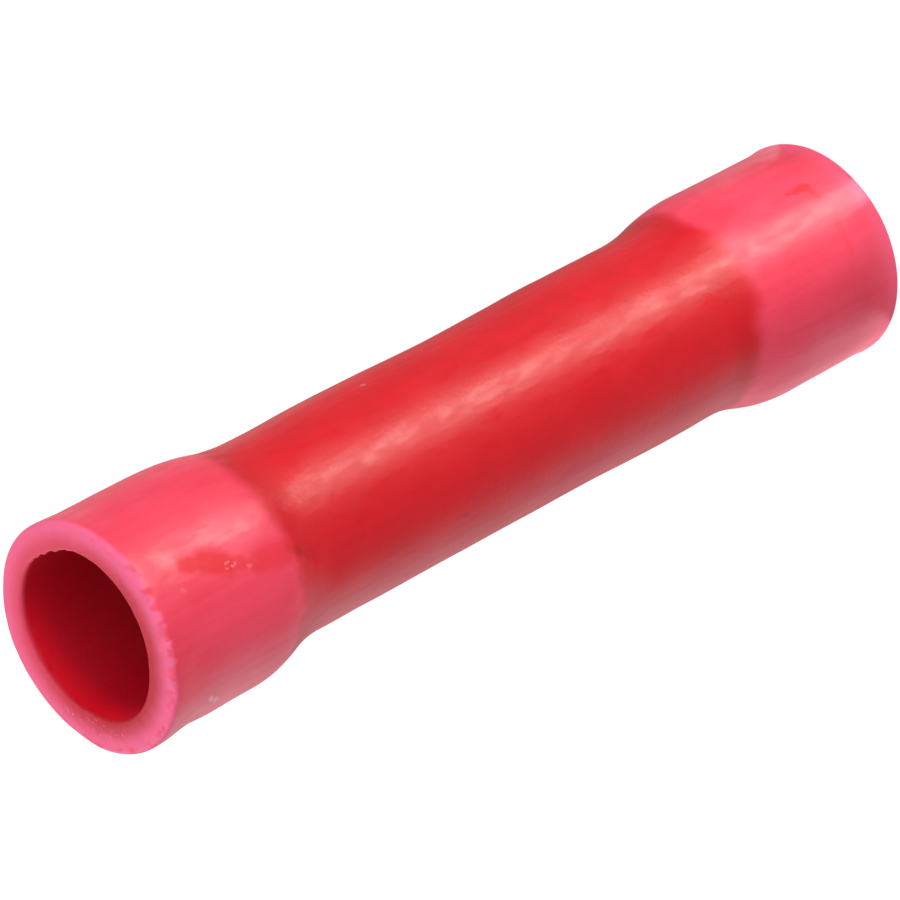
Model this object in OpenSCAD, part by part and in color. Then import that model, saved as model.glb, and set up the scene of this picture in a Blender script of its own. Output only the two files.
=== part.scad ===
// Butt splice connector: a red insulating sleeve, belled at both ends, drawn over
// a tinned copper barrel that joins two stripped wires end to end.
// Millimetres. It stands on one cut end with its axis along Z and the floor at Z = 0.

/* [Sleeve] */
// Length of the sleeve from cut end to cut end
sleeve_length = 25; // [20:0.5:40]
// Straight length of the bell at each end
bell_length = 3.3; // [1.5:0.1:5]
// Length of the curved neck between a bell and the waist
neck_length = 2.6; // [1.5:0.1:4]
// Inside diameter of a bell, which takes the wire with its insulation on
bell_bore = 4.25; // [3.9:0.05:5.5]
// Wall of the sleeve at the bells
bell_wall = 0.7; // [0.5:0.05:1]
// Wall of the sleeve along the waist
waist_wall = 0.85; // [0.5:0.05:1]
// Rounding of the outer edge at each cut end
lip_round = 0.12; // [0.05:0.01:0.3]

/* [Barrel] */
// Length of the barrel, which sits at the middle of the sleeve
barrel_length = 15; // [11:0.5:18]
// Outside diameter of the barrel
barrel_od = 3.2; // [2.8:0.05:3.5]
// Inside diameter of the barrel, which takes the stripped strands
barrel_bore = 1.7; // [1.2:0.05:2]
// Radial clearance between the barrel and the waist that grips it
seat_clearance = 0; // [0:0.01:0.1]
// Bevel at each end of the barrel's bore that leads the strands in
entry_bevel = 0.3; // [0.1:0.05:0.5]
// Bevel on the barrel's outer edges
edge_bevel = 0.15; // [0.05:0.05:0.25]

/* [Wire stop] */
// Diameter left open through the rolled stop at mid length
stop_opening = 0.7; // [0.3:0.05:1.1]
// Radius of the groove rolled into the barrel to raise the stop
stop_groove = 0.85; // [0.5:0.05:1.2]

/* [Hidden] */
$fn = 96;
bell_r = bell_bore / 2 + bell_wall;
seat_r = barrel_od / 2 + seat_clearance;
waist_r = seat_r + waist_wall;
waist_from = bell_length + neck_length;
waist_length = sleeve_length - 2 * waist_from;
barrel_wall = (barrel_od - barrel_bore) / 2;
barrel_from = (sleeve_length - barrel_length) / 2;
bead_r = stop_groove + barrel_wall;
stop_centre = stop_opening / 2 + bead_r;

// Half outline of one end: the bell, then a neck of two equal arcs that meet
// the bell and the waist without a corner
module belled_end(wide, narrow) {
    fall = wide - narrow;
    arc = (pow(neck_length, 2) + pow(fall, 2)) / (4 * fall);
    square([wide, bell_length]);
    translate([0, bell_length]) {
        intersection() {
            translate([wide - arc, 0]) circle(r = arc);
            square([wide, neck_length / 2]);
        }
        difference() {
            translate([0, neck_length / 2]) square([narrow + fall / 2, neck_length / 2]);
            translate([narrow + arc, neck_length]) circle(r = arc);
        }
    }
}

// Half outline of the whole length, from the axis out to the belled contour
module belled_rod(wide, narrow) {
    belled_end(wide, narrow);
    translate([0, waist_from]) square([narrow, waist_length]);
    translate([0, sleeve_length]) mirror([0, 1]) belled_end(wide, narrow);
}

// What the rounding takes off the outer edge of the lower cut end
module lip_corner() {
    difference() {
        translate([bell_r - lip_round, 0]) square(lip_round);
        translate([bell_r - lip_round, lip_round]) circle(r = lip_round);
    }
}

module insulation_sleeve() {
    color("#d8303f") rotate_extrude() difference() {
        belled_rod(bell_r, waist_r);
        belled_rod(bell_bore / 2, seat_r);
        lip_corner();
        translate([0, sleeve_length]) mirror([0, 1]) lip_corner();
    }
}

// Half section of the tube with its bevelled ends, from the lower end up
module tube_section() {
    polygon([
        [barrel_bore / 2 + entry_bevel, 0],
        [barrel_od / 2 - edge_bevel, 0],
        [barrel_od / 2, edge_bevel],
        [barrel_od / 2, barrel_length - edge_bevel],
        [barrel_od / 2 - edge_bevel, barrel_length],
        [barrel_bore / 2 + entry_bevel, barrel_length],
        [barrel_bore / 2, barrel_length - entry_bevel],
        [barrel_bore / 2, entry_bevel]
    ]);
}

module barrel() {
    color("#c9cbcd") translate([0, 0, barrel_from]) rotate_extrude() difference() {
        union() {
            tube_section();
            intersection() {
                translate([stop_centre, barrel_length / 2]) circle(r = bead_r);
                square([barrel_od / 2, barrel_length]);
            }
        }
        translate([stop_centre, barrel_length / 2]) circle(r = stop_groove);
    }
}

insulation_sleeve();
barrel();
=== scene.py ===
import math

import bmesh
import bpy
from mathutils import Matrix, Vector
from mathutils.kdtree import KDTree


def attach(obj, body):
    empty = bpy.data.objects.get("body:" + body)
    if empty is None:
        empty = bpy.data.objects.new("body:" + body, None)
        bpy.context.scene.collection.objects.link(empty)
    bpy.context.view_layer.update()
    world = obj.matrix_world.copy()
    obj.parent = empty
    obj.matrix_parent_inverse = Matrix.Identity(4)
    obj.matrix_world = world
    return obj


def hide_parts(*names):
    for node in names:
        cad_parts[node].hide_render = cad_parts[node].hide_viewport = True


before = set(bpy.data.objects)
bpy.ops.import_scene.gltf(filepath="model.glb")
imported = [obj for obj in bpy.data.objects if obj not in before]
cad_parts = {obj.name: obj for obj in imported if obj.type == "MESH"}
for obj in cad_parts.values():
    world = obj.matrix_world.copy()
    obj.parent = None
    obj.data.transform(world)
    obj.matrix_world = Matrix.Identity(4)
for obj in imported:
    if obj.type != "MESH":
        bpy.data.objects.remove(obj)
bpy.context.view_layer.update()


# Barrel
# A short tube of tinned copper with a stop rolled into its middle, bevelled at both ends.
# Spun here from its half section; the sleeve's waist grips it, so only its mouths can be seen.
MM = 0.001
BARREL_FROM = 5.0
BARREL_LENGTH = 15.0
BARREL_RADIUS = 1.596
BARREL_BORE_RADIUS = 0.85
BARREL_EDGE = 0.15
BARREL_ENTRY = 0.3
BARREL_SIDES = 96
STOP_OPENING_RADIUS = 0.35
STOP_GROOVE = 0.85
STOP_STEPS = 16
MERGE_WITHIN = 0.001
CREASE_ANGLE = math.radians(30)
TIN_BRIGHT = (0.7, 0.69, 0.66, 1)
TIN_DULL = (0.5, 0.5, 0.49, 1)
TIN_LINES_ACROSS = 9.0
TIN_LINES_ALONG = 0.25
TIN_CLOUD_SCALE = 1.4
TIN_ROUGHNESS = (0.2, 0.8, 0.22, 0.42)
TIN_BUMP_STRENGTH = 0.3
TIN_BUMP_DEPTH = 0.01


def stop_arc(depth_radius, centre_radius, wall_radius):
    # heights and radii of the round groove or bead where it leaves and meets a wall
    half = math.sqrt(depth_radius ** 2 - (centre_radius - wall_radius) ** 2)
    reach = math.atan2(half, centre_radius - wall_radius)
    arc = []
    for i in range(STOP_STEPS + 1):
        turn = -reach + 2 * reach * i / STOP_STEPS
        arc.append((depth_radius * math.sin(turn), centre_radius - depth_radius * math.cos(turn)))
    return arc


def barrel_section():
    wall = BARREL_RADIUS - BARREL_BORE_RADIUS
    bead = STOP_GROOVE + wall
    centre = STOP_OPENING_RADIUS + bead
    middle = BARREL_LENGTH / 2
    section = [(0, BARREL_BORE_RADIUS + BARREL_ENTRY), (0, BARREL_RADIUS - BARREL_EDGE)]
    section += [(BARREL_EDGE, BARREL_RADIUS)]
    section += [(middle + z, r) for z, r in stop_arc(STOP_GROOVE, centre, BARREL_RADIUS)]
    section += [(BARREL_LENGTH - BARREL_EDGE, BARREL_RADIUS)]
    section += [(BARREL_LENGTH, BARREL_RADIUS - BARREL_EDGE)]
    section += [(BARREL_LENGTH, BARREL_BORE_RADIUS + BARREL_ENTRY)]
    section += [(BARREL_LENGTH - BARREL_ENTRY, BARREL_BORE_RADIUS)]
    section += [(middle - z, r) for z, r in stop_arc(bead, centre, BARREL_BORE_RADIUS)]
    section += [(BARREL_ENTRY, BARREL_BORE_RADIUS)]
    return [(BARREL_FROM + z, r) for z, r in section]


def draw_tube(name, section, sides):
    # the half section is drawn point by point, closed, and spun round the axis
    bpy.ops.object.select_all(action="DESELECT")
    bpy.ops.mesh.primitive_plane_add(size=MM)
    tube = bpy.context.object
    tube.name = name
    tube.data.name = name
    bpy.ops.object.mode_set(mode="EDIT")
    bpy.ops.mesh.select_mode(type="VERT")
    bpy.ops.mesh.select_all(action="SELECT")
    bpy.ops.mesh.merge(type="CENTER")
    height, radius = section[0]
    bpy.ops.transform.translate(value=(radius * MM, 0, height * MM))
    for next_height, next_radius in section[1:]:
        step = ((next_radius - radius) * MM, 0, (next_height - height) * MM)
        bpy.ops.mesh.extrude_region_move(TRANSFORM_OT_translate={"value": step})
        height, radius = next_height, next_radius
    shape = bmesh.from_edit_mesh(tube.data)
    for point in shape.verts:
        point.select = len(point.link_edges) == 1
    shape.select_flush_mode()
    bpy.ops.mesh.edge_face_add()
    bpy.ops.mesh.select_all(action="SELECT")
    bpy.ops.mesh.spin(steps=sides, angle=2 * math.pi, center=(0, 0, 0), axis=(0, 0, 1))
    bpy.ops.mesh.select_all(action="SELECT")
    bpy.ops.mesh.remove_doubles(threshold=MERGE_WITHIN * MM)
    bpy.ops.mesh.normals_make_consistent(inside=False)
    bpy.ops.object.mode_set(mode="OBJECT")
    return tube


def add_node(tree, kind, inputs, **settings):
    # a node with its settings; an input is either a plain value or another node's output
    node = tree.nodes.new(kind)
    for name, value in settings.items():
        setattr(node, name, value)
    for name, value in inputs.items():
        if isinstance(value, bpy.types.NodeSocket):
            tree.links.new(value, node.inputs[name])
        else:
            node.inputs[name].default_value = value
    return node


def maths(tree, operation, *values):
    node = add_node(tree, "ShaderNodeMath", dict(enumerate(values)), operation=operation)
    return node.outputs[0]


def vector_maths(tree, operation, *values):
    return add_node(tree, "ShaderNodeVectorMath", dict(enumerate(values)), operation=operation)


def fade(tree, value, start, end, low=0.0, high=1.0):
    # smooth change from low to high while the value goes from start to end
    inputs = {"Value": value, "From Min": start, "From Max": end, "To Min": low, "To Max": high}
    return add_node(tree, "ShaderNodeMapRange", inputs, interpolation_type="SMOOTHSTEP").outputs[0]


def noise(tree, place, scale, detail):
    inputs = {"Vector": place, "Scale": scale, "Detail": detail}
    return add_node(tree, "ShaderNodeTexNoise", inputs).outputs[0]


def blend_colours(tree, factor, first, second):
    inputs = {"Factor": factor, "A": first, "B": second}
    return add_node(tree, "ShaderNodeMix", inputs, data_type="RGBA").outputs["Result"]


def in_millimetres(tree):
    place = add_node(tree, "ShaderNodeTexCoord", {})
    return vector_maths(tree, "MULTIPLY", place.outputs["Object"], (1000, 1000, 1000)).outputs[0]


def draw_line_group():
    # long fine lines along the axis, left by the drawing die
    group = bpy.data.node_groups.new("draw_lines", "ShaderNodeTree")
    group.interface.new_socket("Place", in_out="INPUT", socket_type="NodeSocketVector")
    group.interface.new_socket("Across", in_out="INPUT", socket_type="NodeSocketFloat")
    group.interface.new_socket("Along", in_out="INPUT", socket_type="NodeSocketFloat")
    group.interface.new_socket("Lines", in_out="OUTPUT", socket_type="NodeSocketFloat")
    start = group.nodes.new("NodeGroupInput")
    end = group.nodes.new("NodeGroupOutput")
    stretch = {"X": start.outputs["Across"], "Y": start.outputs["Across"], "Z": start.outputs["Along"]}
    scale = add_node(group, "ShaderNodeCombineXYZ", stretch)
    drawn = vector_maths(group, "MULTIPLY", start.outputs["Place"], scale.outputs[0]).outputs[0]
    streaks = noise(group, drawn, 1.0, 3.0)
    group.links.new(fade(group, streaks, 0.3, 0.7), end.inputs["Lines"])
    return group


def lines_on(tree, place, across, along):
    # the drawing lines at one material's own fineness
    placed = add_node(tree, "ShaderNodeGroup", {}, node_tree=draw_lines)
    tree.links.new(place, placed.inputs["Place"])
    placed.inputs["Across"].default_value = across
    placed.inputs["Along"].default_value = along
    return placed.outputs[0]


draw_lines = draw_line_group()
barrel = draw_tube("tinned_barrel", barrel_section(), BARREL_SIDES)
bpy.ops.object.shade_smooth_by_angle(angle=CREASE_ANGLE)

tin = bpy.data.materials.new("tinned_copper")
tin.use_nodes = True
tin_tree = tin.node_tree
tin_shader = tin_tree.nodes["Principled BSDF"]
tin_shader.inputs["Metallic"].default_value = 1.0
tin_place = in_millimetres(tin_tree)
tin_lines = lines_on(tin_tree, tin_place, TIN_LINES_ACROSS, TIN_LINES_ALONG)
tin_cloud = noise(tin_tree, tin_place, TIN_CLOUD_SCALE, 4.0)
tin_wear = maths(tin_tree, "MULTIPLY", maths(tin_tree, "ADD", tin_lines, tin_cloud), 0.5)
tin_colour = blend_colours(tin_tree, tin_wear, TIN_BRIGHT, TIN_DULL)
tin_tree.links.new(tin_colour, tin_shader.inputs["Base Color"])
tin_tree.links.new(fade(tin_tree, tin_wear, *TIN_ROUGHNESS), tin_shader.inputs["Roughness"])
tin_relief = {"Strength": TIN_BUMP_STRENGTH, "Distance": TIN_BUMP_DEPTH * MM, "Height": tin_lines}
tin_bump = add_node(tin_tree, "ShaderNodeBump", tin_relief)
tin_tree.links.new(tin_bump.outputs[0], tin_shader.inputs["Normal"])
barrel.data.materials.append(tin)
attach(barrel, "root")
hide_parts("barrel")


# Insulating sleeve
# One tube of red vinyl, slightly see-through, belled at both ends and cut off square by a blade.
# Its waist is drawn tight over the barrel, so it looks deeper red there than at the hollow bells.
# Spun from its half section, then pulled, dented and nicked as the making and use left it.
SLEEVE_LENGTH = 25.0
SLEEVE_SIDES = 256
BELL_RADIUS = 2.824
WAIST_RADIUS = 2.452
BELL_BORE_RADIUS = 2.12
SEAT_RADIUS = 1.6
TOP_BELL = 3.29
TOP_NECK = 2.55
BOTTOM_BELL = 3.24
BOTTOM_NECK = 2.79
TOP_LIP_ROUND = 0.14
BOTTOM_LIP_ROUND = 0.07
MOUTH_ROUND = 0.09
# distances between the rings of the mesh
BOTTOM_BELL_STEP = 0.14
TOP_BELL_STEP = 0.12
NECK_STEP = 0.1
WAIST_STEP = 0.45
LIP_BAND = 0.7
LIP_STEP = 0.075
TOP_RIM_STEP = 0.06
BOTTOM_RIM_STEP = 0.1
MOUTH_BAND = 0.4
MOUTH_STEP = 0.06
BORE_STEP = 0.3
BORE_NECK_STEP = 0.25
SEAT_STEP = 2.0
# how far the bells and the mouth's bore sit off the axis
TOP_BELL_SET = (-0.078, 0, 0)
BOTTOM_BELL_SET = (-0.048, 0, 0)
BELL_SET_REACH = 2.4
BORE_SET = (0.07, 0.06, 0)
BORE_SET_DEPTH = 2.6
BORE_SET_RADIUS = 2.27
BORE_SET_REACH = 0.6
# how the lips flare and the lower neck leans
TOP_FLARE = (1.01, 1.026, 1)
TOP_FLARE_DEPTH = 0.2
TOP_FLARE_RADIUS = 2.68
TOP_FLARE_REACH = 0.8
BOTTOM_FLARE = (1.01, 1.01, 1)
BOTTOM_FLARE_DEPTH = 0.11
BOTTOM_FLARE_RADIUS = 2.7
BOTTOM_FLARE_REACH = 0.25
LIP_PULL = (-0.085, 0, 0)
LIP_PULL_DEPTH = 0.3
LIP_PULL_SIDE = -2.5
LIP_PULL_REACH = 1.1
UPPER_NECK_SLIP = (0, 0, 0.18)
LOWER_NECK_SLIP = (0, 0, -0.28)
NECK_SLIP_FROM = 3.6
NECK_SLIP_TO = 5.7
NECK_SLIP_RADIUS = 2.3
NECK_SLIP_SIDE = 1.9
NECK_SLIP_REACH = 1.4
# height, angle, depth and reach of each hollow in the skin
WAIST_WAVES = [(12.2, 0, 0.055, 3.6), (18.6, 0, 0.035, 2.2)]
WAIST_WAVES += [(7.2, 180, -0.045, 3.0), (20.9, 0, 0.03, 1.5)]
SKIN_DENTS = [(20.75, 99.5, 0.025, 0.3), (20.5, 103, 0.04, 0.3)]
SKIN_DENTS += [(20.25, 107, 0.04, 0.28), (20.0, 111, 0.025, 0.28)]
SKIN_DENTS += [(23.45, 83.5, 0.01, 0.35), (23.1, 86.5, 0.018, 0.45)]
SKIN_DENTS += [(22.8, 90, 0.02, 0.45), (21.4, 99, 0.015, 0.5)]
SKIN_DENTS += [(1.75, 59.4, 0.022, 0.28), (1.36, 64, 0.014, 0.22)]
SKIN_DENTS += [(22.5, 92.6, 0.03, 0.16), (22.42, 93.6, -0.03, 0.15), (23.0, 180, -0.025, 0.9)]
# angle and depth of each burr and nick of the cut, then angle, radius and height of those on its face
MOUTH_BURRS = [(-14, 0.03), (-7, 0.07), (-2, 0.045), (3, 0.095), (9, 0.06), (14, 0.1), (20, 0.05)]
MOUTH_BURRS += [(27, 0.03), (212, 0.03), (222, 0.04), (234, 0.03), (263, 0.025)]
MOUTH_BURR_REACH = 0.2
LIP_NICKS = [(64, 0.02), (73, 0.045), (78, 0.03), (89, 0.05), (95, 0.02), (104, 0.04), (109, 0.055)]
LIP_NICKS += [(118, 0.025), (124, 0.045), (137, 0.05), (143, 0.03), (158, 0.04), (176, 0.02)]
LIP_NICKS += [(204, 0.03)]
LIP_NICK_REACH = 0.24
RIM_BURRS = [(196, 2.62, 0.03), (207, 2.42, 0.035), (214, 2.55, 0.03), (226, 2.36, 0.04)]
RIM_BURRS += [(112, 2.66, 0.04)]
RIM_BURR_REACH = 0.12
SKIN_FROM = 2.36
SKIN_LUMP = 1.8
SKIN_LUMP_DEPTH = 0.03
CUT_FROM = 24.97
CUT_LUMP = 0.5
CUT_LUMP_DEPTH = 0.035


def steps_between(start, end, spacing):
    # evenly spaced stations after start, up to and with end
    count = max(1, round(abs(end - start) / spacing))
    return [start + (end - start) * (i + 1) / count for i in range(count)]


def neck_radius(share, length, wide, narrow):
    # two equal arcs that meet bell and waist without a corner; share runs from bell to waist
    fall = wide - narrow
    arc = (length ** 2 + fall ** 2) / (4 * fall)
    along = share * length
    if share < 0.5:
        return wide - arc + math.sqrt(arc ** 2 - along ** 2)
    return narrow + arc - math.sqrt(arc ** 2 - (length - along) ** 2)


def belled_radius(z, wide, narrow):
    top = SLEEVE_LENGTH - z
    if z < BOTTOM_BELL or top < TOP_BELL:
        return wide
    if z < BOTTOM_BELL + BOTTOM_NECK:
        return neck_radius((z - BOTTOM_BELL) / BOTTOM_NECK, BOTTOM_NECK, wide, narrow)
    if top < TOP_BELL + TOP_NECK:
        return neck_radius((top - TOP_BELL) / TOP_NECK, TOP_NECK, wide, narrow)
    return narrow


def corner(z, r, z_side, r_side, size, start, end, steps):
    # points of a rounded edge, from start to end in degrees, about a centre inside the wall
    points = []
    for i in range(steps + 1):
        turn = math.radians(start + (end - start) * i / steps)
        height = z + z_side * size * (1 - math.sin(turn))
        points.append((height, r + r_side * size * (1 - math.cos(turn))))
    return points


def sleeve_section():
    neck_at_bottom = BOTTOM_BELL + BOTTOM_NECK
    neck_at_top = SLEEVE_LENGTH - TOP_BELL - TOP_NECK
    bell_at_top = SLEEVE_LENGTH - TOP_BELL
    lip_at_top = SLEEVE_LENGTH - LIP_BAND
    mouth_at_top = SLEEVE_LENGTH - MOUTH_BAND
    mouth_edge = BELL_BORE_RADIUS + MOUTH_ROUND
    outside = corner(0, BELL_RADIUS, 1, -1, BOTTOM_LIP_ROUND, 90, 0, 5)
    heights = steps_between(BOTTOM_LIP_ROUND, BOTTOM_BELL, BOTTOM_BELL_STEP)
    heights += steps_between(BOTTOM_BELL, neck_at_bottom, NECK_STEP)
    heights += steps_between(neck_at_bottom, neck_at_top, WAIST_STEP)
    heights += steps_between(neck_at_top, bell_at_top, NECK_STEP)
    heights += steps_between(bell_at_top, lip_at_top, TOP_BELL_STEP)
    heights += steps_between(lip_at_top, SLEEVE_LENGTH - TOP_LIP_ROUND, LIP_STEP)
    outside += [(z, belled_radius(z, BELL_RADIUS, WAIST_RADIUS)) for z in heights]
    outside += corner(SLEEVE_LENGTH, BELL_RADIUS, -1, -1, TOP_LIP_ROUND, 0, 90, 6)[1:]
    top_radii = steps_between(BELL_RADIUS - TOP_LIP_ROUND, mouth_edge, TOP_RIM_STEP)
    top_rim = [(SLEEVE_LENGTH, r) for r in top_radii]
    mouth = corner(SLEEVE_LENGTH, BELL_BORE_RADIUS, -1, 1, MOUTH_ROUND, 90, 0, 4)[1:]
    depths = steps_between(SLEEVE_LENGTH - MOUTH_ROUND, mouth_at_top, MOUTH_STEP)
    depths += steps_between(mouth_at_top, bell_at_top, BORE_STEP)
    depths += steps_between(bell_at_top, neck_at_top, BORE_NECK_STEP)
    depths += steps_between(neck_at_top, neck_at_bottom, SEAT_STEP)
    depths += steps_between(neck_at_bottom, BOTTOM_BELL, BORE_NECK_STEP)
    depths += steps_between(BOTTOM_BELL, MOUTH_ROUND, BORE_STEP)
    inside = [(z, belled_radius(z, BELL_BORE_RADIUS, SEAT_RADIUS)) for z in depths]
    lower_mouth = corner(0, BELL_BORE_RADIUS, 1, 1, MOUTH_ROUND, 0, 90, 4)[1:]
    bottom_radii = steps_between(mouth_edge, BELL_RADIUS - BOTTOM_LIP_ROUND, BOTTOM_RIM_STEP)
    bottom_rim = [(0, r) for r in bottom_radii[:-1]]
    return outside + top_rim + mouth + inside + lower_mouth + bottom_rim


def spot(height, angle, radius):
    # a place in millimetres; the angle goes from +X round the front of the tube
    turn = math.radians(angle)
    return Vector((radius * math.cos(turn), -radius * math.sin(turn), height))


def select_where(mesh, wanted):
    # selects the points of the mesh in edit mode that lie where the test says, in millimetres
    bpy.ops.mesh.select_all(action="DESELECT")
    shape = bmesh.from_edit_mesh(mesh)
    for point in shape.verts:
        radius = math.hypot(point.co.x, point.co.y) / MM
        point.select = wanted(point.co.x / MM, radius, point.co.z / MM)
    shape.select_flush_mode()


def drag(shift, reach, connected):
    # moves what is selected, and draws the surface round it along
    bpy.ops.transform.translate(
        value=[v * MM for v in shift], use_proportional_edit=True, proportional_edit_falloff="SMOOTH",
        proportional_size=reach * MM, use_proportional_connected=connected)


def flare(factors, centre, reach):
    # widens what is selected about a centre, and draws the surface round it along
    bpy.ops.transform.resize(
        value=factors, center_override=[v * MM for v in centre], use_proportional_edit=True,
        proportional_size=reach * MM, use_proportional_connected=True)


def press(mesh, finder, place, shift, reach):
    # pushes the surface in or pulls it out at one place
    nearest = finder.find(place * MM)[1]
    bpy.ops.mesh.select_all(action="DESELECT")
    shape = bmesh.from_edit_mesh(mesh)
    shape.verts.ensure_lookup_table()
    shape.verts[nearest].select = True
    shape.select_flush_mode()
    drag(shift, reach, True)


def inwards(angle, depth):
    return spot(0, angle, -depth)


def in_lower_neck(radius, z):
    return NECK_SLIP_FROM < z < NECK_SLIP_TO and radius > NECK_SLIP_RADIUS


sleeve = draw_tube("vinyl_sleeve", sleeve_section(), SLEEVE_SIDES)
bpy.ops.object.shade_smooth()
skin = sleeve.data
bpy.ops.object.mode_set(mode="EDIT")
bpy.ops.mesh.select_mode(type="VERT")
select_where(skin, lambda x, r, z: z > SLEEVE_LENGTH - TOP_BELL)
drag(TOP_BELL_SET, BELL_SET_REACH, False)
select_where(skin, lambda x, r, z: z < BOTTOM_BELL)
drag(BOTTOM_BELL_SET, BELL_SET_REACH, False)
select_where(skin, lambda x, r, z: z > SLEEVE_LENGTH - BORE_SET_DEPTH and r < BORE_SET_RADIUS)
drag(BORE_SET, BORE_SET_REACH, True)
select_where(skin, lambda x, r, z: z > SLEEVE_LENGTH - TOP_FLARE_DEPTH and r > TOP_FLARE_RADIUS)
flare(TOP_FLARE, (TOP_BELL_SET[0], 0, SLEEVE_LENGTH), TOP_FLARE_REACH)
select_where(skin, lambda x, r, z: z < BOTTOM_FLARE_DEPTH and r > BOTTOM_FLARE_RADIUS)
flare(BOTTOM_FLARE, (BOTTOM_BELL_SET[0], 0, 0), BOTTOM_FLARE_REACH)
select_where(skin, lambda x, r, z: z > SLEEVE_LENGTH - LIP_PULL_DEPTH and x < LIP_PULL_SIDE)
drag(LIP_PULL, LIP_PULL_REACH, True)
select_where(skin, lambda x, r, z: in_lower_neck(r, z) and x > NECK_SLIP_SIDE)
drag(UPPER_NECK_SLIP, NECK_SLIP_REACH, True)
select_where(skin, lambda x, r, z: in_lower_neck(r, z) and x < -NECK_SLIP_SIDE)
drag(LOWER_NECK_SLIP, NECK_SLIP_REACH, True)
bpy.ops.object.mode_set(mode="OBJECT")

finder = KDTree(len(skin.vertices))
for point in skin.vertices:
    finder.insert(point.co, point.index)
finder.balance()
bpy.ops.object.mode_set(mode="EDIT")
for height, angle, depth, reach in WAIST_WAVES:
    press(skin, finder, spot(height, angle, WAIST_RADIUS), inwards(angle, depth), reach)
for height, angle, depth, reach in SKIN_DENTS:
    near = belled_radius(height, BELL_RADIUS, WAIST_RADIUS)
    press(skin, finder, spot(height, angle, near), inwards(angle, depth), reach)
for angle, depth in MOUTH_BURRS:
    edge = spot(SLEEVE_LENGTH, angle, BELL_BORE_RADIUS)
    press(skin, finder, edge, inwards(angle, depth), MOUTH_BURR_REACH)
for angle, depth in LIP_NICKS:
    dent = inwards(angle, depth) - Vector((0, 0, depth))
    press(skin, finder, spot(SLEEVE_LENGTH, angle, BELL_RADIUS), dent, LIP_NICK_REACH)
for angle, radius, height in RIM_BURRS:
    press(skin, finder, spot(SLEEVE_LENGTH, angle, radius), (0, 0, height), RIM_BURR_REACH)
bpy.ops.object.mode_set(mode="OBJECT")


def roughen(piece, name, points, scale, depth, direction):
    # a slow unevenness over some of the piece's points
    zone = piece.vertex_groups.new(name=name)
    zone.add(points, 1.0, "REPLACE")
    lumps = bpy.data.textures.new(name, "CLOUDS")
    lumps.noise_scale = scale * MM
    uneven = piece.modifiers.new(name, "DISPLACE")
    uneven.texture = lumps
    uneven.texture_coords = "LOCAL"
    uneven.vertex_group = name
    uneven.direction = direction
    uneven.mid_level = 0.5
    uneven.strength = depth * MM
    bpy.context.view_layer.objects.active = piece
    bpy.ops.object.modifier_apply(modifier=name)
    piece.vertex_groups.clear()


outside = [p.index for p in skin.vertices if math.hypot(p.co.x, p.co.y) > SKIN_FROM * MM]
top_face = [p.index for p in skin.vertices if p.co.z > CUT_FROM * MM]
roughen(sleeve, "drawn_skin", outside, SKIN_LUMP, SKIN_LUMP_DEPTH, "NORMAL")
roughen(sleeve, "blade_cut", top_face, CUT_LUMP, CUT_LUMP_DEPTH, "Z")
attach(sleeve, "root")
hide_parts("insulation_sleeve")

BELL_PINK = (0.92, 0.062, 0.126, 1)
BELL_PINK_DEEP = (0.86, 0.038, 0.084, 1)
WAIST_RED = (0.72, 0.0035, 0.013, 1)
WAIST_RED_DEEP = (0.64, 0.002, 0.01, 1)
# the deeper red over the barrel's edges, partly painted shade in the necks' hollows
EDGE_RED_AND_SHADE = (0.58, 0.002, 0.01, 1)
# painted shade inside the bore, and a painted patch of light at its mouth
BORE_SHADE_RED = (0.56, 0.0012, 0.018, 1)
BORE_PAINTED_LIGHT = (0.9, 0.003, 0.022, 1)
CUT_PALE = (0.97, 0.122, 0.28, 1)
# painted light and shade of the cut face's inner part: its lit side, then its shaded side
CUT_INNER_LIT = (0.78, 0.04, 0.095, 1)
CUT_INNER_SHADED = (0.54, 0.006, 0.022, 1)
LIP_RED = (0.86, 0.03, 0.075, 1)
# rubbed wear, partly painted shade where the dents turn from the light
RUBBED_AND_SHADE_RED = (0.8, 0.012, 0.03, 1)
# painted shade in the creases of the skin
CREASE_SHADE_RED = (0.42, 0.003, 0.012, 1)
# pale flecks and crumbs, partly painted glints on the chipped skin
PALE_FLECK_AND_GLINT = (0.95, 0.55, 0.62, 1)
# height and angle where each mark starts and ends, its width and its strength; the rubbed marks are
# partly painted shade where their dents turn from the light
RUBBED_AND_SHADE_MARKS = [(23.62, 83.5, 23.1, 86.5, 0.3, 0.9), (23.1, 86.5, 22.6, 92, 0.42, 1.0)]
RUBBED_AND_SHADE_MARKS += [(22.6, 92, 22.2, 94.5, 0.26, 0.7), (22.2, 94.5, 21.75, 98, 0.16, 0.6)]
RUBBED_AND_SHADE_MARKS += [(21.75, 98, 20.85, 99.5, 0.42, 0.7)]
RUBBED_AND_SHADE_MARKS += [(2.0, 59.0, 1.75, 59.3, 0.11, 0.8), (1.75, 59.3, 1.5, 59.4, 0.17, 0.95)]
RUBBED_AND_SHADE_MARKS += [(1.5, 59.4, 1.38, 60.3, 0.2, 1.0)]
RUBBED_AND_SHADE_MARKS += [(1.38, 60.5, 1.36, 64.5, 0.16, 0.85), (1.36, 64.5, 1.33, 69, 0.1, 0.65)]
RUBBED_AND_SHADE_MARKS += [(1.34, 84, 1.42, 92, 0.17, 0.3), (1.42, 92, 1.36, 101, 0.15, 0.24)]
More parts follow.
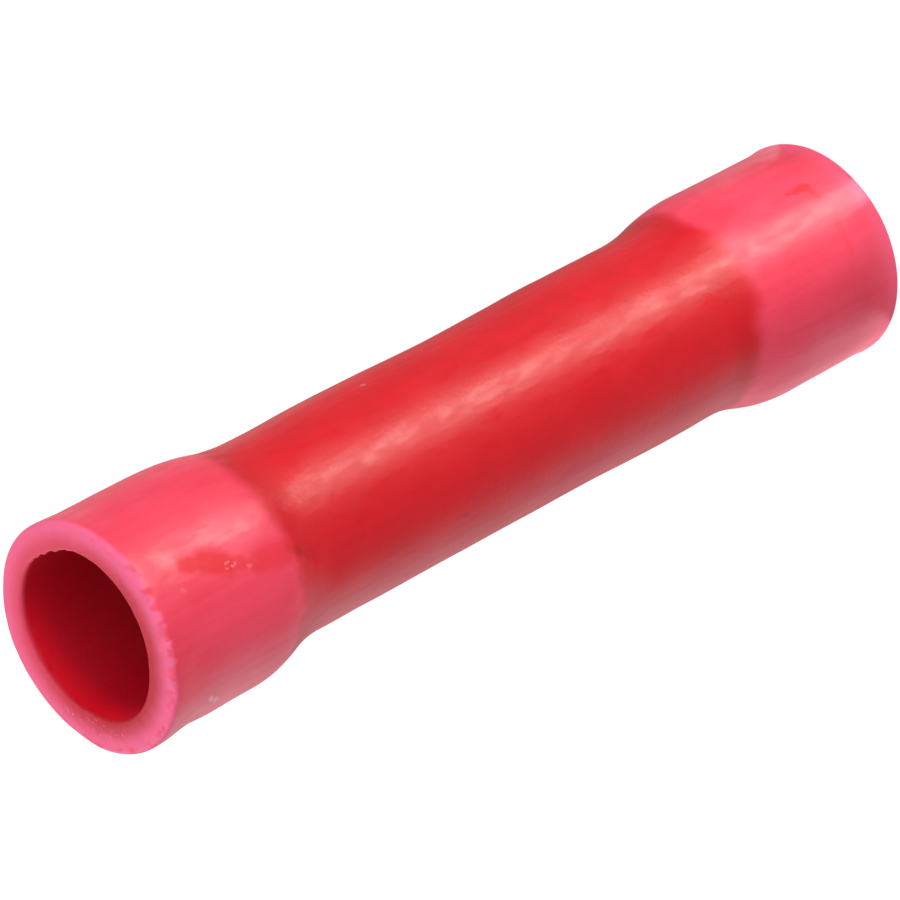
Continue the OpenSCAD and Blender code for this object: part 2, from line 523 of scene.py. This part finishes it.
# painted shade along the creases and dents
CREASE_SHADES = [(20.8, 99.5, 20.5, 103, 0.15, 0.2), (20.5, 103, 20.25, 107, 0.13, 0.36)]
CREASE_SHADES += [(20.25, 107, 19.98, 112, 0.11, 0.18)]
CREASE_SHADES += [(15.07, 134.5, 15.03, 134.9, 0.12, 0.6)]
CREASE_SHADES += [(1.7, 59.3, 1.42, 59.8, 0.15, 0.35), (1.4, 60.5, 1.36, 64, 0.12, 0.25)]
# pale flecks on the skin, partly painted glints where the chip catches the light
FLECKS_AND_GLINTS = [(22.6, 91.8, 22.5, 91.5, 0.05, 0.2), (22.64, 93.6, 22.6, 94.0, 0.05, 0.15)]
FLECKS_AND_GLINTS += [(22.46, 94.2, 22.38, 93.4, 0.06, 0.28), (22.06, 97.4, 22.0, 97.9, 0.06, 0.15)]
FLECKS_AND_GLINTS += [(24.02, 93, 23.96, 94, 0.07, 0.1)]
FLECKS_AND_GLINTS += [(23.6, 155, 23.52, 157, 0.13, 0.7), (23.4, 158, 23.34, 160.5, 0.13, 0.5)]
FLECKS_AND_GLINTS += [(15.56, 30.3, 15.53, 30.6, 0.07, 0.3)]
MARK_EDGE = (1.0, 0.35)
FRAY = 0.12


def straight_mark_group():
    # a mask round a straight mark on the surface, from its start to its end
    group = bpy.data.node_groups.new("straight_mark", "ShaderNodeTree")
    for name in ("Place", "Start", "End"):
        group.interface.new_socket(name, in_out="INPUT", socket_type="NodeSocketVector")
    for name in ("Width", "Strength", "Fray"):
        group.interface.new_socket(name, in_out="INPUT", socket_type="NodeSocketFloat")
    group.interface.new_socket("Mark", in_out="OUTPUT", socket_type="NodeSocketFloat")
    start = group.nodes.new("NodeGroupInput").outputs
    end = group.nodes.new("NodeGroupOutput")
    along = vector_maths(group, "SUBTRACT", start["End"], start["Start"]).outputs[0]
    away = vector_maths(group, "SUBTRACT", start["Place"], start["Start"]).outputs[0]
    travelled = vector_maths(group, "DOT_PRODUCT", away, along).outputs["Value"]
    whole = vector_maths(group, "DOT_PRODUCT", along, along).outputs["Value"]
    parts = {0: travelled, 1: whole}
    share = add_node(group, "ShaderNodeMath", parts, operation="DIVIDE", use_clamp=True)
    nearest = add_node(group, "ShaderNodeVectorMath", {0: along}, operation="SCALE")
    group.links.new(share.outputs[0], nearest.inputs["Scale"])
    off = vector_maths(group, "DISTANCE", away, nearest.outputs[0]).outputs["Value"]
    frayed = maths(group, "DIVIDE", maths(group, "ADD", off, start["Fray"]), start["Width"])
    mark = maths(group, "MULTIPLY", fade(group, frayed, *MARK_EDGE), start["Strength"])
    group.links.new(mark, end.inputs["Mark"])
    return group


def mark_mask(tree, place, fray, marks):
    # the strongest of several marks at each place
    strongest = 0.0
    for start_height, start_angle, end_height, end_angle, width, strength in marks:
        reach = [belled_radius(z, BELL_RADIUS, WAIST_RADIUS) for z in (start_height, end_height)]
        mark = add_node(tree, "ShaderNodeGroup", {}, node_tree=straight_mark)
        tree.links.new(place, mark.inputs["Place"])
        tree.links.new(fray, mark.inputs["Fray"])
        mark.inputs["Start"].default_value = spot(start_height, start_angle, reach[0])
        mark.inputs["End"].default_value = spot(end_height, end_angle, reach[1])
        mark.inputs["Width"].default_value = width
        mark.inputs["Strength"].default_value = strength
        strongest = maths(tree, "MAXIMUM", mark.outputs[0], strongest)
    return strongest


def way_along(tree, place, direction):
    # how far a place lies in a direction across the tube
    return vector_maths(tree, "DOT_PRODUCT", place, direction).outputs["Value"]


VINYL_IOR = 1.54
VINYL_LINES_ACROSS = 4.0
VINYL_LINES_ALONG = 0.08
CLOUD_SCALE = 0.55
WAVE_SCALE = 0.9
GRAIN_SCALE = 10.0
CHEWED_SCALE = 3.5
SPOT_SCALE = 3.6
SPOT_STRETCH = (1, 1, 0.4)
FIBRE_SCALE = 3.2
straight_mark = straight_mark_group()
vinyl = bpy.data.materials.new("red_vinyl")
vinyl.use_nodes = True
tree = vinyl.node_tree
vinyl_shader = tree.nodes["Principled BSDF"]
vinyl_shader.inputs["IOR"].default_value = VINYL_IOR
place = in_millimetres(tree)
height_up = add_node(tree, "ShaderNodeSeparateXYZ", {0: place}).outputs["Z"]
flat_place = vector_maths(tree, "MULTIPLY", place, (1, 1, 0)).outputs[0]
radius_out = vector_maths(tree, "LENGTH", flat_place).outputs["Value"]
cloud = noise(tree, place, CLOUD_SCALE, 3.0)
wave = noise(tree, place, WAVE_SCALE, 2.0)
grain = noise(tree, place, GRAIN_SCALE, 3.0)
chewed = noise(tree, place, CHEWED_SCALE, 4.0)
lines = lines_on(tree, place, VINYL_LINES_ACROSS, VINYL_LINES_ALONG)
stretched = vector_maths(tree, "MULTIPLY", place, SPOT_STRETCH).outputs[0]
gloss_spots = noise(tree, stretched, SPOT_SCALE, 2.0)
fibres = noise(tree, flat_place, FIBRE_SCALE, 2.5)

# heights between which the red over the metal comes and goes, with a deeper band inside each end: the
# red over the barrel's edge, partly painted shade in the hollow of each neck
METAL_WAVE = 0.8
METAL_BOTTOM = (4.5, 5.1)
METAL_TOP = (20.98, 20.3)
EDGE_AND_SHADE_BOTTOM = (5.9, 5.2)
EDGE_AND_SHADE_TOP = (19.6, 20.3)
EDGE_AND_SHADE_STRENGTH = 0.42
MOTTLE_RANGE = (0.35, 0.65)
MOTTLE_SHARE = 0.55
LINES_SHARE = 0.45
low_height = maths(tree, "SUBTRACT", height_up, METAL_WAVE / 2)
wavy_height = maths(tree, "MULTIPLY_ADD", wave, METAL_WAVE, low_height)
from_bottom = fade(tree, wavy_height, *METAL_BOTTOM)
from_top = fade(tree, wavy_height, *METAL_TOP)
over_metal = maths(tree, "MULTIPLY", from_bottom, from_top)
edge_and_shade_top = maths(tree, "MULTIPLY", fade(tree, wavy_height, *EDGE_AND_SHADE_TOP), from_top)
edge_and_shade_bottom = maths(tree, "MULTIPLY", fade(tree, wavy_height, *EDGE_AND_SHADE_BOTTOM), from_bottom)
barrel_edge_and_shade = maths(tree, "MULTIPLY", maths(tree, "MAXIMUM", edge_and_shade_top, edge_and_shade_bottom), EDGE_AND_SHADE_STRENGTH)
mottle = maths(tree, "MULTIPLY", fade(tree, cloud, *MOTTLE_RANGE), MOTTLE_SHARE)
depth_of_colour = maths(tree, "MULTIPLY_ADD", lines, LINES_SHARE, mottle)
pink = blend_colours(tree, depth_of_colour, BELL_PINK, BELL_PINK_DEEP)
red = blend_colours(tree, depth_of_colour, WAIST_RED, WAIST_RED_DEEP)
colour = blend_colours(tree, over_metal, pink, red)
colour = blend_colours(tree, barrel_edge_and_shade, colour, EDGE_RED_AND_SHADE)

fray = maths(tree, "MULTIPLY_ADD", grain, FRAY, -FRAY / 2)
# rubbed wear marks, partly painted shade where the dents turn from the light
rubbed_and_shaded = mark_mask(tree, place, fray, RUBBED_AND_SHADE_MARKS)
# painted shade in the creases
crease_shade = mark_mask(tree, place, fray, CREASE_SHADES)
# pale flecks, partly painted glints
flecks_and_glints = mark_mask(tree, place, fray, FLECKS_AND_GLINTS)
colour = blend_colours(tree, rubbed_and_shaded, colour, RUBBED_AND_SHADE_RED)
colour = blend_colours(tree, crease_shade, colour, CREASE_SHADE_RED)
colour = blend_colours(tree, flecks_and_glints, colour, PALE_FLECK_AND_GLINT)

# the bore is painted dark as painted shade, with a painted patch of light at its mouth on the side that
# faces the light
BORE_WALL = (2.42, 2.3)
BORE_LIGHT_WAY = (-0.5, 0.866, 0)
BORE_LIGHT_SIDE = (0.2, 2.2)
BORE_LIGHT_HEIGHT = (23.9, 24.9)
in_bore = fade(tree, radius_out, *BORE_WALL)
bore_light_side = fade(tree, way_along(tree, place, BORE_LIGHT_WAY), *BORE_LIGHT_SIDE)
glow = maths(tree, "MULTIPLY", bore_light_side, fade(tree, height_up, *BORE_LIGHT_HEIGHT))
bore_painted_shading = blend_colours(tree, glow, BORE_SHADE_RED, BORE_PAINTED_LIGHT)
colour = blend_colours(tree, in_bore, colour, bore_painted_shading)

# the cut end is paler, torn and pitted where the blade came out, with crumbs left at one side; the
# inner part of its face has painted light and shade, lighter on the side towards the light and darker
# on the other
BLADE_AND_LIGHT_WAY = (0.87, 0.5, 0)
TORN_WALL = (2.45, 2.65, 0.0, 0.4)
TORN_SIDE = (0.6, -1.0)
TOP_CUT = (24.8, 24.95)
BOTTOM_CUT = (0.65, 0.1, 0.0, 0.35)
RIM_SHADE_WAVE = 2.5
RIM_SHIFT = (0.065, 0, 0)
RIM_RAGGED = 0.14
RIM_BLEND = (2.16, 2.8)
RIM_SHADE_SIDE = (-2.6, 2.2)
PIT_FIBRES = (0.52, 0.38)
PIT_WALL = (2.66, 2.84)
PIT_SIDE = (1.6, -0.6, 0.0, 0.6)
CRUMB_WAY = (-0.82, 0.57, 0)
CRUMB_GRAIN = (0.58, 0.72, 0.0, 0.4)
CRUMB_SIDE = (2.1, 2.3)
CRUMB_WALL = (2.6, 2.45)
blade_and_light_way = way_along(tree, place, BLADE_AND_LIGHT_WAY)
torn = maths(tree, "SUBTRACT", fibres, 0.5)
torn = maths(tree, "MULTIPLY", torn, fade(tree, radius_out, *TORN_WALL))
torn = maths(tree, "MULTIPLY", torn, fade(tree, blade_and_light_way, *TORN_SIDE))
cut_top = fade(tree, maths(tree, "ADD", height_up, torn), *TOP_CUT)
cut_bottom = fade(tree, height_up, *BOTTOM_CUT)
cut = maths(tree, "MAXIMUM", cut_top, cut_bottom)
rim_shade_start = maths(tree, "SUBTRACT", blade_and_light_way, RIM_SHADE_WAVE / 2)
rim_shade_wave = maths(tree, "MULTIPLY_ADD", wave, RIM_SHADE_WAVE, rim_shade_start)
rim_place = vector_maths(tree, "ADD", flat_place, RIM_SHIFT).outputs[0]
rim_out = vector_maths(tree, "LENGTH", rim_place).outputs["Value"]
ragged = maths(tree, "MULTIPLY_ADD", chewed, RIM_RAGGED, -RIM_RAGGED / 2)
rim_radius = maths(tree, "ADD", rim_out, ragged)
# painted light and shade: the inner part of the cut face is lighter on the lit side and darker on the
# other
rim_painted_light_and_shade = blend_colours(tree, fade(tree, rim_shade_wave, *RIM_SHADE_SIDE), CUT_INNER_SHADED, CUT_INNER_LIT)
cut_colour = blend_colours(tree, fade(tree, rim_radius, *RIM_BLEND), rim_painted_light_and_shade, CUT_PALE)
pitted = maths(tree, "MULTIPLY", fade(tree, fibres, *PIT_FIBRES), fade(tree, rim_radius, *PIT_WALL))
pitted = maths(tree, "MULTIPLY", pitted, fade(tree, blade_and_light_way, *PIT_SIDE))
pitted = maths(tree, "MULTIPLY", pitted, cut_top)
cut_colour = blend_colours(tree, pitted, cut_colour, LIP_RED)
crumb_side = fade(tree, way_along(tree, place, CRUMB_WAY), *CRUMB_SIDE)
crumbs = maths(tree, "MULTIPLY", fade(tree, grain, *CRUMB_GRAIN), crumb_side)
crumbs = maths(tree, "MULTIPLY", crumbs, fade(tree, rim_radius, *CRUMB_WALL))
cut_colour = blend_colours(tree, crumbs, cut_colour, PALE_FLECK_AND_GLINT)
colour = blend_colours(tree, cut, colour, cut_colour)
tree.links.new(colour, vinyl_shader.inputs["Base Color"])

# the skin is satin, a little glossier in spots at the front and duller where it is cut or rubbed
SATIN = 0.4
CLOUD_DULLS = 0.1
LINES_DULL = 0.03
CUT_DULLS = 0.12
RUBBING_DULLS = 0.2
POLISH_WAY = (0.26, -0.97, 0)
POLISH_SIDE = (1.0, 2.2)
POLISH_SPOTS = (0.35, 0.7, 0.0, 0.15)
LINE_RELIEF = 0.2
GRAIN_RELIEF = 0.8
CHEWED_RELIEF = 1.2
BUMP_STRENGTH = 0.6
BUMP_DEPTH = 0.012
dull = maths(tree, "MULTIPLY_ADD", cloud, CLOUD_DULLS, SATIN)
dull = maths(tree, "MULTIPLY_ADD", lines, LINES_DULL, dull)
polish_side = fade(tree, way_along(tree, place, POLISH_WAY), *POLISH_SIDE)
polish = maths(tree, "MULTIPLY", fade(tree, gloss_spots, *POLISH_SPOTS), polish_side)
dull = maths(tree, "SUBTRACT", dull, polish)
dull = maths(tree, "MULTIPLY_ADD", rubbed_and_shaded, RUBBING_DULLS, dull)
dull = maths(tree, "MULTIPLY_ADD", cut, CUT_DULLS, dull)
tree.links.new(dull, vinyl_shader.inputs["Roughness"])
relief = maths(tree, "MULTIPLY", grain, GRAIN_RELIEF)
relief = maths(tree, "MULTIPLY_ADD", lines, LINE_RELIEF, relief)
relief = maths(tree, "MULTIPLY_ADD", chewed, CHEWED_RELIEF, relief)
vinyl_relief = {"Strength": BUMP_STRENGTH, "Distance": BUMP_DEPTH * MM, "Height": relief}
vinyl_bump = add_node(tree, "ShaderNodeBump", vinyl_relief)
tree.links.new(vinyl_bump.outputs[0], vinyl_shader.inputs["Normal"])
sleeve.data.materials.append(vinyl)


# Floor
# A plain white table top, wide enough to fill the picture.
# It is white to the eye, keeps the part's soft shadow and throws light up at its foot.
FLOOR_SIZE = 1.2
FLOOR_CELLS = 8
PAPER_GREY = (0.2, 0.2, 0.2, 1)
PAPER_LIFT = 0.91
PAPER_IN_GLOSS = 0.14
PAPER_BOUNCE = 1.1
BOUNCE_RANGE = (3, 5.5)
BOUNCE_SIDE = (-3.2, -0.5, 0.3, 1)

bpy.ops.object.select_all(action="DESELECT")
bpy.ops.mesh.primitive_grid_add(x_subdivisions=FLOOR_CELLS, y_subdivisions=FLOOR_CELLS, size=FLOOR_SIZE)
floor = bpy.context.object
floor.name = "floor"
paper = bpy.data.materials.new("white_paper")
paper.use_nodes = True
paper_tree = paper.node_tree
paper_tree.nodes.remove(paper_tree.nodes["Principled BSDF"])
paper_matt = add_node(paper_tree, "ShaderNodeBsdfDiffuse", {"Color": PAPER_GREY}).outputs[0]
ray = add_node(paper_tree, "ShaderNodeLightPath", {}).outputs
seen = maths(paper_tree, "MULTIPLY_ADD", ray["Is Glossy Ray"], PAPER_IN_GLOSS, ray["Is Camera Ray"])
seen = maths(paper_tree, "MAXIMUM", seen, ray["Is Transmission Ray"])
paper_place = in_millimetres(paper_tree)
from_foot = vector_maths(paper_tree, "LENGTH", paper_place).outputs["Value"]
aside = add_node(paper_tree, "ShaderNodeSeparateXYZ", {0: paper_place}).outputs["X"]
near_foot = fade(paper_tree, from_foot, *BOUNCE_RANGE, PAPER_BOUNCE, 0)
bounce = maths(paper_tree, "MULTIPLY", ray["Is Diffuse Ray"], near_foot)
bounce = maths(paper_tree, "MULTIPLY", bounce, fade(paper_tree, aside, *BOUNCE_SIDE))
lift = maths(paper_tree, "MULTIPLY_ADD", seen, PAPER_LIFT, bounce)
paper_glow = add_node(paper_tree, "ShaderNodeEmission", {"Strength": lift}).outputs[0]
paper_sum = add_node(paper_tree, "ShaderNodeAddShader", {0: paper_matt, 1: paper_glow})
paper_tree.links.new(paper_sum.outputs[0], paper_tree.nodes["Material Output"].inputs["Surface"])
floor.data.materials.append(paper)


# Lights
# A pale sky, dimmer on one side, and four soft lamps: in front, overhead, at the side and behind.
# On the floor lie a louvred light panel, which makes the long highlight, and two white cards,
# which brighten the edges of the tube.
WHITE = (1, 1, 1, 1)
WARM_WHITE = (1, 0.96, 0.88, 1)
ROSE_WHITE = (1, 0.95, 1.02, 1)
SKY_DIM_SIDE = 0.5
SKY_BRIGHT_SIDE = 0.72
SKY_TURN = (-0.8, 0.6)
LAMP_AIM = 12
CARD_HEIGHT = 0.05
LOUVRE_SLANT = (0.15, 0.33)
PANEL_CORE = 0.45
# brightness of the panel and the cards at distances from their feet
PANEL_STATIONS = [(1.62, 3.4), (2.1, 5.0), (2.6, 7.6), (3.2, 8.4), (7, 8.4), (10, 8.8), (14, 8.4)]
PANEL_STATIONS += [(17, 7.2), (24, 7.2), (28, 8.4), (110, 8.4)]
LEFT_STATIONS = [(1.35, 1.35), (5.5, 1.22), (9.5, 1.12), (14.5, 1.0), (20.5, 0.95), (26.5, 1.5)]
LEFT_STATIONS += [(31, 1.7), (58.5, 1.7)]
RIGHT_STATIONS = [(1.35, 1.0), (3, 0.75), (6, 0.42), (18.5, 0.4), (24.5, 0.7), (58.5, 0.7)]

world = bpy.data.worlds.new("studio")
bpy.context.scene.world = world
world.use_nodes = True
sky_tree = world.node_tree
sky_way = add_node(sky_tree, "ShaderNodeTexCoord", {}).outputs["Generated"]
sky_side = add_node(sky_tree, "ShaderNodeSeparateXYZ", {0: sky_way}).outputs["X"]
sky = sky_tree.nodes["Background"]
sky.inputs["Color"].default_value = WHITE
sky_level = fade(sky_tree, sky_side, *SKY_TURN, SKY_DIM_SIDE, SKY_BRIGHT_SIDE)
sky_tree.links.new(sky_level, sky.inputs["Strength"])


def softbox(name, level, bearing, rise, distance, size):
    # a square lamp that looks at the part's middle; level 1 lights a facing white card to white
    light = bpy.data.lights.new(name, "AREA")
    light.size = size
    light.energy = level * math.pi * math.pi * distance ** 2
    lamp = bpy.data.objects.new(name, light)
    bpy.context.scene.collection.objects.link(lamp)
    swing = Matrix.Rotation(math.radians(bearing), 4, "Z")
    turn = swing @ Matrix.Rotation(math.radians(90 - rise), 4, "X")
    aim = Matrix.Translation((0, 0, LAMP_AIM * MM))
    lamp.matrix_world = aim @ turn @ Matrix.Translation((0, 0, distance))
    lamp.visible_camera = False


def floor_card(name, foot, bearing, spread, stations, tint, louvred):
    # a flat card with sides that spread from its foot, seen only in reflections and as soft light;
    # the stations give its brightness at distances from the foot, from its near edge to its far one
    near = stations[0][0]
    far = stations[-1][0]
    slope = math.tan(math.radians(spread))
    bpy.ops.object.select_all(action="DESELECT")
    bpy.ops.mesh.primitive_plane_add(size=MM)
    card = bpy.context.object
    card.name = name
    bpy.ops.object.mode_set(mode="EDIT")
    bpy.ops.transform.resize(value=(2 * far * slope, far - near, 1))
    bpy.ops.mesh.select_all(action="DESELECT")
    bpy.ops.object.mode_set(mode="OBJECT")
    for point in card.data.vertices:
        point.select = point.co.y < 0
    bpy.ops.object.mode_set(mode="EDIT")
    bpy.ops.transform.resize(value=(near / far, 1, 1))
    bpy.ops.mesh.select_all(action="SELECT")
    bpy.ops.transform.translate(value=(0, (near + far) / 2 * MM, 0))
    bpy.ops.object.mode_set(mode="OBJECT")
    card.location = (foot[0] * MM, foot[1] * MM, CARD_HEIGHT * MM)
    card.rotation_euler = (0, 0, math.radians(bearing + 180))
    shine = bpy.data.materials.new(name)
    shine.use_nodes = True
    shine_tree = shine.node_tree
    shine_tree.nodes.remove(shine_tree.nodes["Principled BSDF"])
    card_axes = add_node(shine_tree, "ShaderNodeSeparateXYZ", {0: in_millimetres(shine_tree)}).outputs
    out = card_axes["Y"]
    level = stations[0][1]
    for (start, before), (end, after) in zip(stations, stations[1:]):
        level = maths(shine_tree, "ADD", fade(shine_tree, out, start, end, 0, after - before), level)
    if louvred:
        slant = add_node(shine_tree, "ShaderNodeLayerWeight", {"Blend": 0.5}).outputs["Facing"]
        level = maths(shine_tree, "MULTIPLY", level, fade(shine_tree, slant, *LOUVRE_SLANT))
        off_line = maths(shine_tree, "DIVIDE", maths(shine_tree, "ABSOLUTE", card_axes["X"]), out)
        soft_side = fade(shine_tree, off_line, slope, PANEL_CORE * slope)
        level = maths(shine_tree, "MULTIPLY", level, soft_side)
    glow = add_node(shine_tree, "ShaderNodeEmission", {"Color": tint, "Strength": level})
    shine_tree.links.new(glow.outputs[0], shine_tree.nodes["Material Output"].inputs["Surface"])
    card.data.materials.append(shine)
    card.visible_camera = False
    card.visible_shadow = False


softbox("key_softbox", 0.24, 23, 32, 0.09, 0.05)
softbox("top_softbox", 0.16, 0, 90, 0.3, 0.14)
softbox("side_softbox", 0.06, -100, 12, 0.3, 0.14)
softbox("back_softbox", 0.2, -150, 18, 0.3, 0.14)
floor_card("light_panel", (-0.1, -1.27), 28.5, 15.5, PANEL_STATIONS, WARM_WHITE, True)
floor_card("left_card", (-1.39, -2.01), -122, 30, LEFT_STATIONS, ROSE_WHITE, False)
floor_card("right_card", (1.97, -1.9), 150, 23, RIGHT_STATIONS, WHITE, False)


# Camera
# A long lens that looks down at the standing part.
# It is rolled so that the part lies across the picture.
CAMERA_PLACE = (-0.2005, -118.4187, 105.3325)
CAMERA_TILT = math.radians(90 - 37.8808)
CAMERA_ROLL = math.radians(-118.0542)
CAMERA_SENSOR = 36
CAMERA_LENS = 251.308
CAMERA_CLIP = 10
camera_data = bpy.data.cameras.new("camera")
camera_data.sensor_width = CAMERA_SENSOR
camera_data.lens = CAMERA_LENS
camera_data.clip_start = CAMERA_CLIP * MM
camera = bpy.data.objects.new("camera", camera_data)
bpy.context.scene.collection.objects.link(camera)
tilt = Matrix.Rotation(CAMERA_TILT, 4, "X")
roll = Matrix.Rotation(CAMERA_ROLL, 4, "Z")
camera.matrix_world = Matrix.Translation([v * MM for v in CAMERA_PLACE]) @ tilt @ roll
bpy.context.scene.camera = camera
bpy.context.scene.view_settings.view_transform = "Standard"
